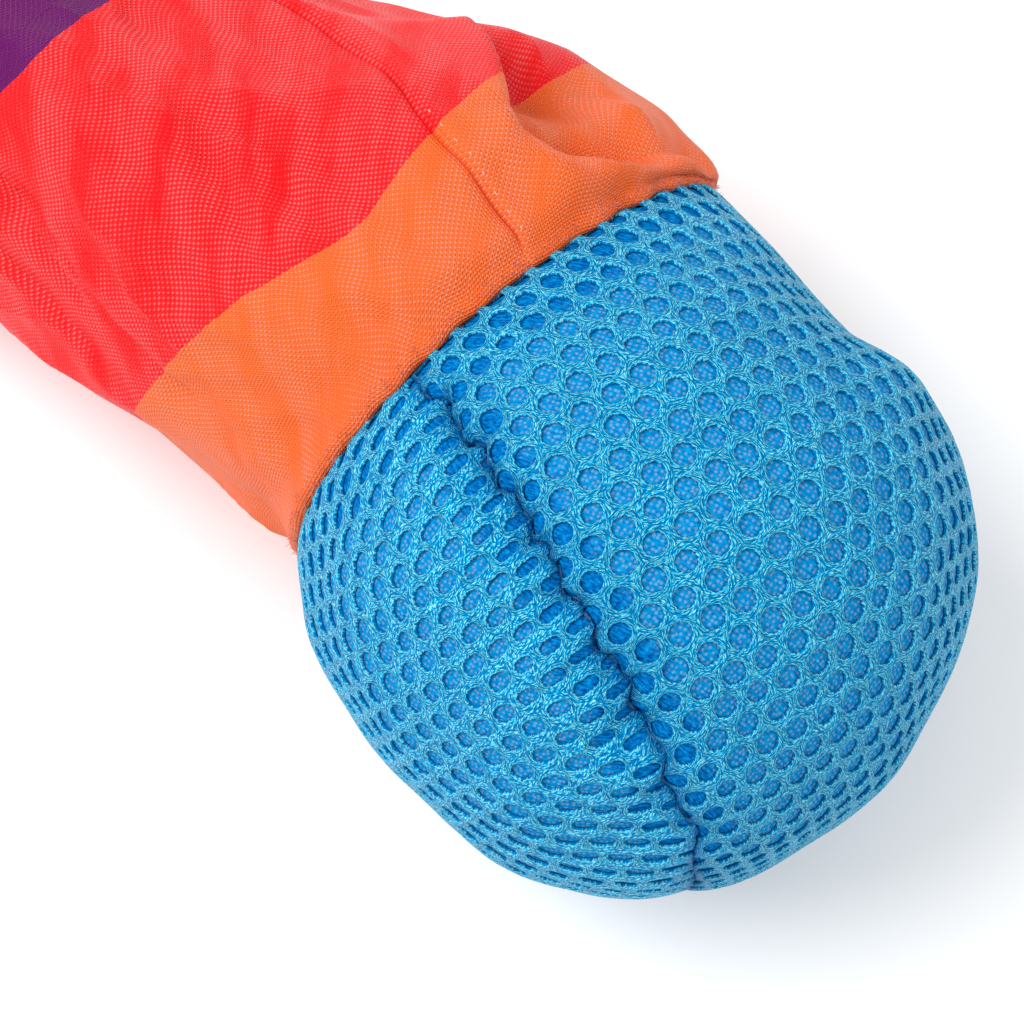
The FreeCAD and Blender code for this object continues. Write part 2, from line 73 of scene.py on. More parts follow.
# the neck's plane: a point on it, its turn from square, and the way it faces
NECK_PLACE = np.array([-36.8, -2.3, 0.0])
NECK_TURN = math.radians(7.4)
NECK_FACING = np.array([math.cos(NECK_TURN), math.sin(NECK_TURN), 0.0])

# the air mesh: from hole to hole, a hole's radius, from the middle surface down to the back layer,
# and how deep the seam pinches it
PITCH = 5.15
HOLE = 1.74
WALL = 0.6
GROOVE = 4.0
# how deep the cloth that is turned in at the seam and at the neck goes
SEAM_TURNED = 4.5
NECK_TURNED = 3.5
# the filling stops this far ahead of the neck, where its disc is
DISC_AHEAD = 3.0


# ---- small tools ----


def smooth(x):
    """0 below 0, 1 above 1, and a soft step between."""
    x = np.clip(x, 0.0, 1.0)
    return x * x * (3 - 2 * x)


def ripple(points, size, seed, waves=7, calm=3.2):
    """A smooth uneven value from about -1 to 1 at each point; size is the spacing of its lumps."""
    rng = np.random.default_rng(seed)
    total = np.zeros(len(points))
    for _ in range(waves):
        way = rng.normal(size=points.shape[1])
        way /= np.linalg.norm(way)
        total += np.sin(points @ way * (TURN / size) * rng.uniform(0.6, 1.5) + rng.uniform(0, 6.28))
    return total / calm


def unit(v):
    v = np.asarray(v, float)
    return v / np.linalg.norm(v, axis=-1, keepdims=True)


def add_object(name, data):
    made = bpy.data.objects.new(name, data)
    bpy.context.scene.collection.objects.link(made)
    return made


def make_mesh(name, points_mm, faces, uv=None, values=None):
    """A mesh object from points in millimetres; uv is per face corner, values are per vertex."""
    mesh = bpy.data.meshes.new(name)
    points = np.asarray(points_mm, float) * MM
    sizes = np.array([len(f) for f in faces])
    flat = np.concatenate([np.asarray(f) for f in faces]).astype(np.int32)
    mesh.vertices.add(len(points))
    mesh.vertices.foreach_set("co", points.astype(np.float32).ravel())
    mesh.loops.add(len(flat))
    mesh.loops.foreach_set("vertex_index", flat)
    mesh.polygons.add(len(faces))
    starts = np.concatenate([[0], np.cumsum(sizes)[:-1]])
    mesh.polygons.foreach_set("loop_start", starts.astype(np.int32))
    mesh.update(calc_edges=True)
    mesh.polygons.foreach_set("use_smooth", np.full(len(faces), True))
    if uv is not None:
        layer = mesh.uv_layers.new(name="cloth")
        layer.data.foreach_set("uv", np.asarray(uv, np.float32).ravel())
    for key, value in (values or {}).items():
        attribute = mesh.attributes.new(key, "FLOAT", "POINT")
        attribute.data.foreach_set("value", np.asarray(value, np.float32))
    mesh.validate()
    return add_object(name, mesh)


def grid(down, across):
    """The two values at each point of a grid, row after row."""
    down, across = np.meshgrid(down, across, indexing="ij")
    return down.ravel(), across.ravel()


def grid_faces(rows, columns, closed=False):
    """Quads of a grid of points, row after row; closed joins the last column to the first."""
    wide = columns if closed else columns - 1
    r, c = grid(np.arange(rows - 1), np.arange(wide))
    here, below = r * columns, (r + 1) * columns
    n = (c + 1) % columns
    return np.stack([here + c, here + n, below + n, below + c], 1)


def capped_faces(rows, columns, turned=False):
    """Faces of rings of points joined into a rod, with closed ends; turned is for rings that run
    the other way round."""
    first, last = tuple(range(columns)), tuple(range((rows - 1) * columns, rows * columns))
    ends = [first, last[::-1]] if turned else [first[::-1], last]
    return [tuple(f) for f in grid_faces(rows, columns, True)] + ends


def tube(path, radius, sides=6):
    """Points and faces of a round rod along a path, with closed ends."""
    path = np.asarray(path, float)
    along = unit(np.gradient(path, axis=0))
    guess = np.array([0.0, 0.0, 1.0]) if abs(along[0][2]) < 0.9 else np.array([1.0, 0.0, 0.0])
    side = unit(np.cross(along, guess))
    over = np.cross(side, along)
    angle = np.arange(sides) * TURN / sides
    wide = (np.asarray(radius) * np.ones(len(path)))[:, None, None]
    rim = (
        path[:, None]
        + wide * np.cos(angle)[None, :, None] * side[:, None]
        + wide * np.sin(angle)[None, :, None] * over[:, None]
    )
    return rim.reshape(-1, 3), capped_faces(len(path), sides)


def join_parts(parts):
    """One list of points and faces from several."""
    points, faces, base = [], [], 0
    for p, f in parts:
        points.append(p)
        faces += [tuple(i + base for i in face) for face in f]
        base += len(p)
    return np.concatenate(points), faces


def along_line(line):
    """How far along a line each of its points is."""
    return np.concatenate([[0], np.cumsum(np.linalg.norm(np.diff(line, axis=0), axis=1))])


def fit(piece, paint, body, node):
    """Paints a piece that rides on one body; node is the CAD node that it replaces, if any."""
    paint.give(piece)
    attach(piece, body)
    if node:
        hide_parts(node)


# ---- camera, lights and floor ----


# the camera's direction from the toy, its distance, and its aim from the head's centre
AZIMUTH = math.radians(56.5)
ELEVATION = math.radians(72.5)
CAMERA_FAR = 0.445
AIM_LEFT = 0.020
AIM_UP = 0.0075
# name, place from the toy's middle (to the camera's right, up and towards it), size and power
LIGHTS = (("key", (-0.68, 0.36, 0.90), 0.9, 11.5), ("fill", (0.7, -0.2, 0.9), 0.8, 2.4))
TOY_MIDDLE = Vector((-0.05, 0, 0.04))
WORLD_LIGHT = 0.84
FLOOR_HALF = 4.0
FLOOR_LOW = -0.0004


def make_camera():
    level = math.cos(ELEVATION)
    toward = Vector((math.sin(AZIMUTH) * level, -math.cos(AZIMUTH) * level, math.sin(ELEVATION)))
    right = Vector((math.cos(AZIMUTH), math.sin(AZIMUTH), 0))
    up = toward.cross(right)
    aim = Vector(HEAD_CENTRE * MM) - AIM_LEFT * right + AIM_UP * up
    data = bpy.data.cameras.new("camera")
    data.lens = 100
    data.sensor_width = 36
    data.clip_start = 0.01
    camera = add_object("camera", data)
    turn = Matrix((right, up, toward)).transposed().to_4x4()
    camera.matrix_world = Matrix.Translation(aim + CAMERA_FAR * toward) @ turn
    bpy.context.scene.camera = camera
    return right, up, toward


def make_stage(right, up, toward):
    scene = bpy.context.scene
    scene.view_settings.view_transform = "Standard"
    world = bpy.data.worlds.new("studio")
    world.use_nodes = True
    background = world.node_tree.nodes["Background"]
    background.inputs["Color"].default_value = (1, 1, 1, 1)
    background.inputs["Strength"].default_value = WORLD_LIGHT
    scene.world = world
    for name, (x, y, z), size, power in LIGHTS:
        data = bpy.data.lights.new(name, "AREA")
        data.shape = "DISK"
        data.size = size
        data.energy = power
        light = add_object(name, data)
        place = TOY_MIDDLE + x * right + y * up + z * toward
        light.location = place
        light.rotation_euler = (TOY_MIDDLE - place).to_track_quat("-Z", "Y").to_euler()
    mesh = bpy.data.meshes.new("floor")
    corners = [(x * FLOOR_HALF, y * FLOOR_HALF, FLOOR_LOW) for x, y in ((-1, -1), (1, -1), (1, 1), (-1, 1))]
    mesh.from_pydata(corners, [], [(0, 1, 2, 3)])
    floor = add_object("floor", mesh)
    paint = Paint("pale_floor")
    paint.shader(Base_Color=(0.93, 0.93, 0.93, 1), Roughness=0.8)
    paint.give(floor)


# ---- materials ----


class Paint:
    """A short way to build a node material."""

    def __init__(self, name):
        self.material = bpy.data.materials.new(name)
        self.material.use_nodes = True
        self.tree = self.material.node_tree
        self.bsdf = self.tree.nodes["Principled BSDF"]

    def node(self, kind, inputs=None, **settings):
        made = self.tree.nodes.new(kind)
        for key, value in settings.items():
            setattr(made, key, value)
        for key, value in (inputs or {}).items():
            self.put(made.inputs[key], value)
        return made

    def put(self, socket, value):
        if isinstance(value, bpy.types.NodeSocket):
            self.tree.links.new(value, socket)
        else:
            socket.default_value = value

    def math(self, operation, *values, clamp=False):
        made = self.node("ShaderNodeMath", operation=operation, use_clamp=clamp)
        for socket, value in zip(made.inputs, values):
            self.put(socket, value)
        return made.outputs[0]

    def times(self, *values):
        return self.math("MULTIPLY", *values)

    def plus(self, *values, clamp=False):
        return self.math("ADD", *values, clamp=clamp)

    def minus(self, *values, clamp=False):
        return self.math("SUBTRACT", *values, clamp=clamp)

    def wave(self, value, turn):
        return self.math("SINE", self.times(value, turn))

    def attribute(self, name):
        return self.node("ShaderNodeAttribute", attribute_name=name).outputs["Fac"]

    def uv(self):
        return self.node("ShaderNodeUVMap", uv_map="cloth").outputs["UV"]

    def place(self):
        return self.node("ShaderNodeTexCoord").outputs["Object"]

    def scaled(self, vector, x, y):
        return self.node("ShaderNodeMapping", {"Vector": vector, "Scale": (x, y, 1.0)}).outputs[0]

    def split(self, vector):
        return self.node("ShaderNodeSeparateXYZ", {0: vector}).outputs

    def join(self, x, y):
        return self.node("ShaderNodeCombineXYZ", {0: x, 1: y}).outputs[0]

    def cells(self, vector, scale, randomness):
        """Distance from the middle of a cell, in a flat pattern of uneven cells."""
        inputs = {"Vector": vector, "Scale": scale, "Randomness": randomness}
        made = self.node("ShaderNodeTexVoronoi", inputs, voronoi_dimensions="2D", feature="F1")
        return made.outputs["Distance"]

    def noise(self, vector, scale, detail=2.0, rough=0.5):
        inputs = {"Vector": vector, "Scale": scale, "Detail": detail, "Roughness": rough}
        return self.node("ShaderNodeTexNoise", inputs).outputs[0]

    def ramp(self, value, stops, interpolation="LINEAR"):
        made = self.node("ShaderNodeValToRGB")
        self.put(made.inputs[0], value)
        made.color_ramp.interpolation = interpolation
        points = made.color_ramp.elements
        while len(points) < len(stops):
            points.new(0.5)
        for point, (place, colour) in zip(points, stops):
            point.position = place
            point.color = (*colour, 1)
        return made.outputs[0]

    def mix(self, share, one, other, blend="MIX"):
        made = self.node("ShaderNodeMix", data_type="RGBA", blend_type=blend)
        self.put(made.inputs[0], share)
        for number, colour in ((6, one), (7, other)):
            self.put(made.inputs[number], (*colour, 1) if isinstance(colour, tuple) else colour)
        return made.outputs[2]

    def bump(self, height, distance, strength=1.0):
        inputs = {"Height": height, "Distance": distance, "Strength": strength}
        return self.node("ShaderNodeBump", inputs).outputs[0]

    def shader(self, **inputs):
        for key, value in inputs.items():
            self.put(self.bsdf.inputs[key.replace("_", " ")], value)

    def give(self, obj):
        obj.data.materials.clear()
        obj.data.materials.append(self.material)


def greys(*stops):
    """Stops of a colour ramp from pairs of place and brightness."""
    return [(place, (light, light, light)) for place, light in stops]


def yarn_paint():
    """Bright filaments of the mesh's face, laid round each hole in short zigzag runs. Its uv runs
    round the hole and out from its rim, in millimetres."""
    p = Paint("air_mesh_yarn")
    u, v, _ = p.split(p.uv())
    wobble = p.noise(p.uv(), 1.1, 2)
    bent = p.plus(v, p.times(p.minus(wobble, 0.5), 0.8))
    slant = p.plus(u, p.times(v, 1.7))
    far = p.cells(p.join(p.times(slant, 1.35), p.times(bent, 3.8)), 1.0, 0.9)
    thread = p.minus(1.0, p.times(far, 1.25), clamp=True)
    # one filament runs right round the rim, worn thin in places
    off_rim = p.math("ABSOLUTE", p.minus(bent, 0.14))
    rim = p.minus(1.0, p.times(off_rim, 5.0), clamp=True)
    rim = p.times(rim, p.plus(p.times(wobble, 0.7), 0.5, clamp=True))
    thread = p.math("MAXIMUM", thread, p.times(rim, 0.95))
    stops = [(0.10, (0.0, 0.11, 0.35)), (0.38, (0.0, 0.23, 0.56)), (0.54, (0.0, 0.36, 0.72))]
    stops += [(0.68, (0.03, 0.68, 0.96)), (0.82, (0.42, 0.97, 1.0))]
    colour = p.ramp(thread, stops)
    tone = p.noise(p.place(), 70.0, 3)
    colour = p.mix(p.times(tone, 0.25), colour, (0.0, 0.38, 0.74))
    # painted shade: the yarn is darkened inside the holes and in the seam's groove
    colour = p.mix(p.attribute("depth"), colour, (0.0, 0.12, 0.38))
    p.shader(
        Base_Color=colour,
        Roughness=0.42,
        Specular_IOR_Level=0.22,
        Specular_Tint=(0.12, 0.70, 1.0, 1.0),
        Normal=p.bump(thread, 0.0004, 1.0),
    )
    return p


def backing_paint():
    """The mesh's back layer: fine blue knit whose small openings show the white filling."""
    p = Paint("air_mesh_backing")
    uv = p.uv()
    far = p.cells(uv, 1.22, 0.55)
    fibre = p.noise(p.scaled(uv, 0.7, 2.0), 1.3, 3)
    # where this value is 1 the knit is stretched open; it is 0 beside the seam and at the neck, where the
    # white filling is hidden and the knit gets painted shade
    is_open_unshaded = p.attribute("open_unshaded")
    bunched_and_shaded = [(0.32, (0.0, 0.05, 0.22)), (0.5, (0.0, 0.14, 0.44)), (0.68, (0.0, 0.28, 0.64))]
    stretched = [(0.3, (0.0, 0.12, 0.37)), (0.5, (0.0, 0.22, 0.53)), (0.7, (0.0, 0.33, 0.67))]
    colour = p.mix(is_open_unshaded, p.ramp(fibre, bunched_and_shaded), p.ramp(fibre, stretched))
    white = p.ramp(far, greys((0.0, 1), (0.24, 0.85), (0.40, 0)))
    colour = p.mix(p.times(p.times(white, is_open_unshaded), 0.55), colour, (0.21, 0.37, 0.55))
    relief = p.plus(fibre, p.times(white, -0.6))
    p.shader(
        Base_Color=colour,
        Roughness=0.7,
        Specular_IOR_Level=0.02,
        Normal=p.bump(relief, 0.0003, 0.7),
    )
    return p


# the print on the sleeve, in millimetres along it: the first stripe is narrower at the neck
STRIPE = 57.5
FIRST_STRIPE = 30.0
SLEEVE_LONG = 432.0
WEAVE = 1.06
ORANGE = (0.90, 0.135, 0.022)
RED = (0.92, 0.004, 0.008)
PURPLE = (0.13, 0.001, 0.12)
BLUE = (0.01, 0.13, 0.55)
GREEN = (0.03, 0.40, 0.10)
YELLOW = (0.93, 0.62, 0.02)
STRIPES = (ORANGE, RED, PURPLE, BLUE, GREEN, YELLOW, ORANGE, RED)


def sleeve_paint():
    """Thin coated plain weave with printed stripes, and painted sheen on its yarns."""
    p = Paint("striped_cloth")
    uv = p.uv()
    u, v, _ = p.split(uv)
    stops = [(0.0, STRIPES[0])]
    for number, colour in enumerate(STRIPES[1:]):
        stops.append(((FIRST_STRIPE + number * STRIPE) / SLEEVE_LONG, colour))
    edge = p.times(p.minus(p.noise(uv, 1.2, 2), 0.5), 0.5)
    along = p.math("DIVIDE", p.plus(p.attribute("stripe"), edge), SLEEVE_LONG)
    colour = p.ramp(along, stops, "CONSTANT")
    # painted highlight: one pale dot at every second crossing of the yarns, where the yarn's top catches
    # the light
    crossing = p.times(p.wave(u, TURN / WEAVE), p.wave(v, TURN / WEAVE))
    weave = p.math("ABSOLUTE", crossing)
    highlight_dots = p.math("MAXIMUM", crossing, 0.0)
    red, green, blue = p.split(colour)
    brightest = p.math("MAXIMUM", red, p.math("MAXIMUM", green, blue))
    uneven = p.noise(p.place(), 45.0, 3)
    worn_and_sheen = p.noise(p.place(), 700.0, 2)
    # painted sheen: the highlight dots and small random patches lighten the print
    light = p.plus(p.times(highlight_dots, 0.95), p.times(uneven, 0.08))
    light = p.plus(light, p.times(worn_and_sheen, 0.06))
    # the painted sheen comes and goes in long slanting streaks, and is fainter on dark stripes
    across = p.minus(p.times(u, 0.8), p.times(v, 0.6))
    down = p.plus(p.times(u, 0.6), p.times(v, 0.8))
    sheen_streak = p.noise(p.join(p.times(across, 0.16), p.times(down, 0.035)), 1.0, 3, 0.55)
    shine = p.ramp(sheen_streak, greys((0.38, 0.15), (0.49, 0.62), (0.62, 1.15)))
    light = p.times(light, p.times(shine, p.times(brightest, 1.5)))
    # the painted sheen is laid over the print as a pale screen
    colour_with_sheen = p.mix(light, colour, (0.30, 0.13, 0.13), blend="SCREEN")
    p.shader(
        Base_Color=colour_with_sheen,
        Roughness=0.42,
        Specular_IOR_Level=0.14,
        Specular_Tint=(1.0, 0.55, 0.55, 1.0),
        Normal=p.bump(weave, 0.00024, 1.0),
        Sheen_Weight=0.03,
        Sheen_Roughness=0.35,
        Sheen_Tint=(1.0, 0.55, 0.45, 1.0),
    )
    return p


def thread_paint(name, colour):
    """Twisted thread."""
    p = Paint(name)
    inputs = {"Vector": p.place(), "Scale": 900.0, "Distortion": 1.0}
    wave = p.node("ShaderNodeTexWave", inputs, wave_type="BANDS", bands_direction="DIAGONAL")
    twist = wave.outputs["Fac"]
    dark = tuple(0.55 * c for c in colour)
    p.shader(Base_Color=p.mix(twist, dark, colour), Roughness=0.6, Normal=p.bump(twist, 0.00015, 0.6))
    return p


def webbing_paint(name, colour, light):
    """Ribbed flat webbing or tape: uv runs across and along it in millimetres."""
    p = Paint(name)
    u, v, _ = p.split(p.uv())
    rib = p.math("ABSOLUTE", p.wave(p.plus(v, p.times(u, 0.5)), math.pi / 1.1))
    pick = p.math("ABSOLUTE", p.wave(u, math.pi / 0.9))
    height = p.times(rib, p.plus(p.times(pick, 0.6), 0.4))
    worn_and_sheen = p.noise(p.place(), 80.0, 4)
    p.shader(
        Base_Color=p.mix(p.times(height, worn_and_sheen), colour, light),
        Roughness=0.75,
        Normal=p.bump(height, 0.0003, 0.8),
        Sheen_Weight=0.2,
    )
    return p


def fibre_paint():
    """Loose white fibre."""
    p = Paint("fibre")
    place = p.place()
    strand = p.noise(place, 400.0, 6, 0.7)
    colour = p.ramp(strand, [(0.3, (0.62, 0.64, 0.66)), (0.6, (0.92, 0.92, 0.90))])
    p.shader(Base_Color=colour, Roughness=0.95, Normal=p.bump(strand, 0.001, 0.8))
    return p


def plastic_paint(name, colour, rough):
    """Slightly cloudy moulded plastic."""
    p = Paint(name)
    cloudy = p.noise(p.place(), 90.0, 3)
    dull = tuple(0.86 * c for c in colour)
    p.shader(
        Base_Color=p.mix(cloudy, dull, colour),
        Roughness=rough,
        Normal=p.bump(p.noise(p.place(), 500.0, 3), 0.00005, 0.4),
    )
    return p


def lining_paint(pitch=0.0008):
    """Plain woven lining, on a piece that is square to X."""
    p = Paint("lining_cloth")
    _, y, z = p.split(p.place())
    weave = p.times(p.wave(y, TURN / pitch), p.wave(z, TURN / pitch))
    colour = p.mix(p.noise(p.place(), 200.0, 3), (0.72, 0.72, 0.70), (0.88, 0.88, 0.86))
    p.shader(Base_Color=colour, Roughness=0.85, Normal=p.bump(weave, 0.0001, 0.6))
    return p


# ---- the head's surface ----


def oval(x, middle, wide, back, front, power):
    """Half width at x of an oval that is squarer ahead of its widest place than behind it."""
    ahead = (1 - np.clip(np.abs(x - middle) / front, 0, 1) ** power) ** (1 / power)
    behind = np.sqrt(np.clip(1 - ((x - middle) / back) ** 2, 0, 1))
    return wide * np.where(x > middle, ahead, behind)


def head_radius(x, around):
    """Distance of the head's surface from its long axis; around is 0 on top and grows towards +Y."""
    place = RIGHT_SIDE["middle"]
    straight = (
        RIGHT_SIDE["wide"]
        - SHOULDER * smooth((place - x) / SHOULDER_LONG)
        - SHOULDER_SLOPE * np.clip(place - SHOULDER_LONG - x, 0, 60)
    )
    right = np.where(x > place, oval(x, **RIGHT_SIDE), straight)
    sideways = np.sin(around)
    side = np.where(sideways < 0, oval(x, **LEFT_SIDE), right)
    return oval(x, **TOP_SIDE) * np.cos(around) ** 2 + side * sideways**2


def solve(inside, count, far=90.0):
    """The distance at which inside(distance) turns false, for many rays at once."""
    low, high = np.zeros(count), np.full(count, far)
    for _ in range(24):
        middle = (low + high) / 2
        within = inside(middle)
        low = np.where(within, middle, low)
        high = np.where(within, high, middle)
    return (low + high) / 2


def is_inside(points):
    x, y, z = points.T
    return np.hypot(y, z) < head_radius(x, np.arctan2(y, z))


def on_ray(ways):
    """Points of the head's surface in these directions from its centre."""
    far = solve(lambda r: is_inside(ways * r[:, None]), len(ways))
    return ways * far[:, None]


def seam_y(x):
    """The seam's Y: a leaning line that wanders a little."""
    return SEAM_Y + SEAM_LEAN * x + 0.75 * np.sin(0.62 * x) + 0.45 * np.sin(1.31 * x + 1.0)


def on_seam(turn, sunk):
    """Points of the seam's line; turn goes round the Y axis, sunk is the depth in the groove."""
    ways = np.stack([np.cos(turn), np.zeros_like(turn), np.sin(turn)], 1)

    def here(r):
        points = ways * r[:, None]
        points[:, 1] = seam_y(points[:, 0])
        return points

    far = solve(lambda r: is_inside(here(r)), len(turn)) - sunk
    return here(far)


def neck_depth(points):
    """How far ahead of the neck's plane each point is."""
    return (points - NECK_PLACE) @ NECK_FACING


def to_neck(points, sunk):
    """The same places round the head, moved along to the neck's plane and inwards by sunk."""
    around = np.arctan2(points[:, 1], points[:, 2])
    made = points.copy()
    for _ in range(3):
        made[:, 0] = NECK_PLACE[0] - (made[:, 1] - NECK_PLACE[1]) * NECK_FACING[1] / NECK_FACING[0]
        radius = head_radius(made[:, 0], around) - sunk
        made[:, 1] = np.sin(around) * radius
        made[:, 2] = np.cos(around) * radius
    return made


def off_seam(points):
    """How far each point is from the seam's line, towards +Y."""
    return points[:, 1] - seam_y(points[:, 0])


def settle(points, soft=3.0):
    """Presses the underside flat where it lies on the floor."""
    height = points[:, 2] + HEAD_HIGH
    lifted = np.where(height < 12, (height + np.sqrt(height**2 + soft**2)) / 2, height)
    blend = smooth((height - 6) / 6)
    points = points.copy()
    points[:, 2] = lifted * (1 - blend) + height * blend - HEAD_HIGH
    return points


def sink(points, raise_by):
    """Raises points of the head over its plain surface, less the groove, the neck's edge and lumps."""
    off = off_seam(points)
    ahead = np.clip(neck_depth(points), 0, None)
    turn = np.arctan2(points[:, 2], points[:, 0])
    gather = ripple(np.stack([turn * 50, 0 * turn], 1), 13.0, 5)
    # the groove is wider on the left panel, puckered, and shallow at the neck and the tip
    reach = np.where(off < 0, 4.4, 1.9) + 0.5 * gather
    shallow = (0.15 + 0.85 * smooth(ahead / 8)) * (1 - 0.75 * smooth((points[:, 0] - 34) / 12))
    groove = (GROOVE + 1.2 * gather) * np.exp(-np.abs(off) / reach) * shallow
    lumps = 0.5 * ripple(points, 26.0, 11) * smooth(ahead / 10)
    push = raise_by - groove - 0.5 * np.exp(-ahead / 2.0) + lumps
    return settle(points + unit(points) * push[:, None])


def head_surface(ways, side, raise_by):
    """Points of one panel of the head, and how far they are from the seam and from the neck.
    side is -1 for the left panel and 1 for the right one. Cloth past a seam is turned in."""
    points = on_ray(ways)
    beyond = side * off_seam(points)
    past_seam = beyond < 0
    if past_seam.any():
        turn = np.arctan2(points[past_seam, 2], points[past_seam, 0])
        points[past_seam] = on_seam(turn, np.clip(-beyond[past_seam], 0, SEAM_TURNED))
    ahead = neck_depth(points)
    past_neck = ahead < 0
    if past_neck.any():
        points[past_neck] = to_neck(points[past_neck], np.clip(-ahead[past_neck], 0, NECK_TURNED))
    return sink(points, raise_by), np.clip(beyond, 0, None), np.clip(ahead, 0, None)


# ---- the head's panels ----


def chart(facing, grain):
    """The frame of a flat panel: the way its middle faces and the way its rows of holes run."""
    facing = unit(facing)
    grain = np.asarray(grain, float)
    along = unit(grain - facing * (grain @ facing))
    return facing, along, np.cross(facing, along)


# each panel is laid out flat round the way that its middle faces, as on a ball of this radius
PANEL_RADIUS = 50.0
PANELS = {
    "left": dict(side=-1, lay=chart((0.10, -0.94, 0.10), (0.41, 0.92, 0.05)), pitch=PITCH * 0.97),
    "right": dict(side=1, lay=chart((0.12, 0.42, 0.90), (0.853, 0.504, -0.137)), pitch=PITCH),
}
# how far cloth is kept past the seam and the neck: the mesh's cells, and the back layer
CELLS_PAST = (2.6, 3.2)
BACKING_PAST = (4.5, 4.0)


def from_flat(flat, lay):
    """Directions from the head's centre for places on a flat panel, in millimetres."""
    facing, along, across = lay
    far = np.hypot(flat[:, 0], flat[:, 1])
    angle = far / PANEL_RADIUS
    scale = np.where(far > 1e-9, np.sin(angle) / np.maximum(far, 1e-9), 0.0)
    return (
        facing * np.cos(angle)[:, None]
        + along * (flat[:, 0] * scale)[:, None]
        + across * (flat[:, 1] * scale)[:, None]
    )


def on_panel(points, side, past):
    """Whether points of the plain head are on this panel or a little past its edges."""
    past_seam, past_neck = past
    return (side * off_seam(points) > -past_seam) & (neck_depth(points) > -past_neck)


def hex_centres(pitch, reach):
    """Middles of a honeycomb's cells within this reach."""
    rows = int(reach / (pitch * 0.866)) + 1
    places = []
    for row in range(-rows, rows + 1):
        for column in range(-rows, rows + 1):
            x = pitch * (column + 0.5 * (row % 2))
            y = pitch * math.sqrt(3) / 2 * row
            if math.hypot(x, y) < reach:
                places.append((x, y))
    return np.array(places)


# rings of one hole, from the crest between holes down into the hole: share of the way from
# crest to rim, and height over the panel's middle surface
HOLE_RINGS = ((0.0, 0.12), (0.42, 0.17), (0.80, 0.09), (1.0, -0.12), (0.98, -0.48))
SPOKES = 24


def make_panel(name, side, lay, pitch):
    """The open face of the air mesh: one ringed hole for each cell of a honeycomb."""
    centres = hex_centres(pitch, PANEL_RADIUS * 2.35)
    rough = on_ray(from_flat(centres, lay))
    keep = on_panel(rough, side, CELLS_PAST)
    centres, rough = centres[keep], rough[keep]
    angle = np.arange(SPOKES) * TURN / SPOKES
    # distance from a cell's centre to its hexagonal edge in each direction
    turned = (angle + math.pi / 6) % (math.pi / 3) - math.pi / 6
    edge = pitch / 2 / np.cos(turned)
    rng = np.random.default_rng(3 + side)
    swell = 1 + 0.05 * rng.normal(size=len(centres))
    count = len(centres)
    # beside the seam the left panel is gathered, and its holes are pulled long across the seam
    pulled = (side < 0) * np.exp(-np.abs(off_seam(rough)) / 24.0)
    from_middle = np.arctan2(centres[:, 1], centres[:, 0])
    squeezed = 1 - 0.58 * pulled[:, None] * np.sin(angle[None, :] - from_middle[:, None]) ** 2
    hole = HOLE * swell[:, None] * squeezed * (1 + 0.12 * pulled[:, None])
    flat = []
    for share, _ in HOLE_RINGS:
        radius = edge[None, :] * (1 - share) + hole * share
        x = centres[:, :1] + radius * np.cos(angle)
        y = centres[:, 1:] + radius * np.sin(angle)
        flat.append(np.stack([x, y], 2).reshape(-1, 2))
    flat = np.concatenate(flat)
    crest = count * SPOKES
    height = np.repeat([high for _, high in HOLE_RINGS], crest)
    points, from_seam, _ = head_surface(from_flat(flat, lay), side, height)
    # painted shade: the yarn is darkened inside the holes and beside the seam, where shade falls
    depth = np.maximum(np.clip(-2 * height, 0, 1), 0.9 * np.exp(-from_seam / 1.7))
    points += HEAD_CENTRE
    # neighbours share the crest's points
    key = np.round(flat[:crest] * 200).astype(np.int64)
    _, first, same = np.unique(key, axis=0, return_index=True, return_inverse=True)
    index = np.arange(len(flat))
    index[:crest] = first[same.ravel()]
    cell, spoke = grid(np.arange(count), np.arange(SPOKES))
    following = (spoke + 1) % SPOKES
    faces, uv = [], []
    # the yarn's uv starts at a random place round each hole, and runs out from its rim
    step = TURN / SPOKES * (HOLE + 0.4)
    shift = rng.uniform(0, 400, count)[cell]
    u0, u1 = shift + spoke * step, shift + (spoke + 1) * step
    for ring in range(len(HOLE_RINGS) - 1):
        outer, inner = (start * crest + cell * SPOKES for start in (ring, ring + 1))
        corners = (outer + spoke, outer + following, inner + following, inner + spoke)
        faces.append(np.stack([index[corner] for corner in corners], 1))
        out, into = 1 - HOLE_RINGS[ring][0], 1 - HOLE_RINGS[ring + 1][0]
        ends = ((spoke, out), (following, out), (following, into), (spoke, into))
        v = [(edge[at] - HOLE) * share for at, share in ends]
        uv.append(np.stack([u0, v[0], u1, v[1], u1, v[2], u0, v[3]], 1).reshape(-1, 4, 2))
    faces, uv = np.concatenate(faces), np.concatenate(uv)
    # faces squeezed flat in the groove are left out
    a, b, c = (points[faces[:, i]] for i in range(3))
    whole = np.linalg.norm(np.cross(b - a, c - a), axis=1) > 1e-4
    faces, uv = faces[whole], uv[whole]
    used, renumbered = np.unique(faces, return_inverse=True)
    faces = renumbered.reshape(faces.shape)
    return make_mesh(name, points[used], faces, uv.reshape(-1, 2), {"depth": depth[used]})


